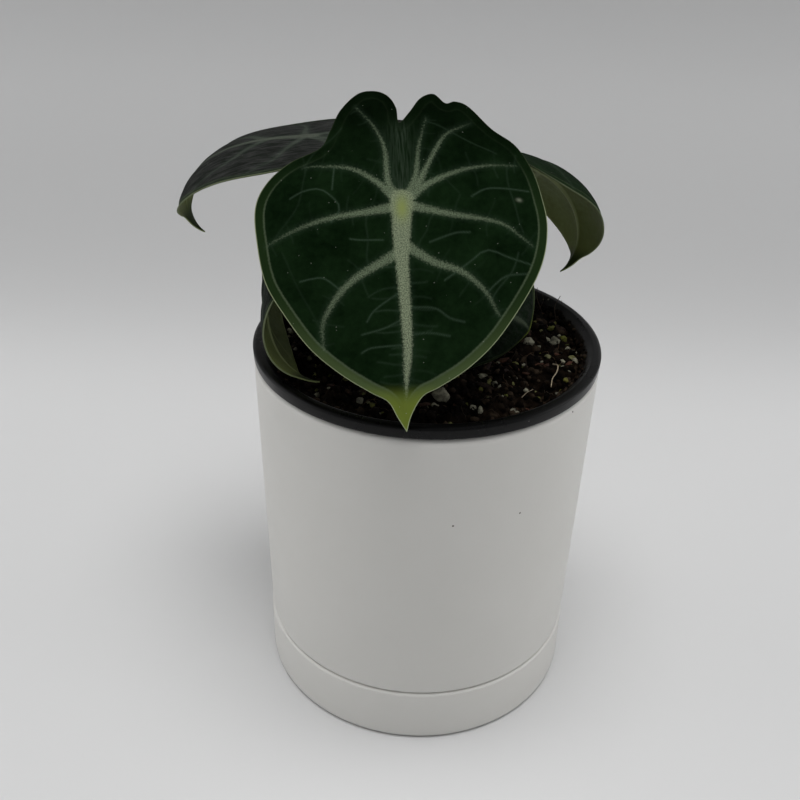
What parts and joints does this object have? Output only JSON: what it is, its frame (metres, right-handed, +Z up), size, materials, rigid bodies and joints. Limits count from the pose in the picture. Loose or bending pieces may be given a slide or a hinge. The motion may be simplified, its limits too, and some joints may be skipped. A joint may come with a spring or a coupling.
{
  "type": "potted alocasia",
  "caption": "Small aroid houseplant with dark velvety heart-shaped leaves, pale veins and drip tips, in a thin nursery pot that hangs in a straight white ceramic pot on its saucer.",
  "frame": {"origin": "centre of the saucer's flat underside, on the pots' shared axis and on the surface the plant stands on", "axes": "+Z up along the pots' axis; -Y is the front, towards which the large leaf leans; +X is to the right seen from the front"},
  "size_m": [0.1341, 0.1292, 0.1963],
  "materials": {
    "white_glaze": "matt white glaze",
    "black_plastic": "satin black moulded plastic",
    "peat": "dark damp peat with bark, perlite and fibres",
    "stem_husk": "dry tan husk",
    "leaf_velvet": "near-black green velvet with silvery green veins, olive underneath"
  },
  "bodies": {
    "root": {"saucer": "white_glaze", "ceramic_pot": "white_glaze", "nursery_pot": "black_plastic", "soil": "peat", "stem": "stem_husk", "leaf_front": "leaf_velvet", "leaf_left": "leaf_velvet", "leaf_right": "leaf_velvet", "leaf_low_left": "leaf_velvet", "leaf_low_right": "leaf_velvet"}
  },
  "joints": []
}
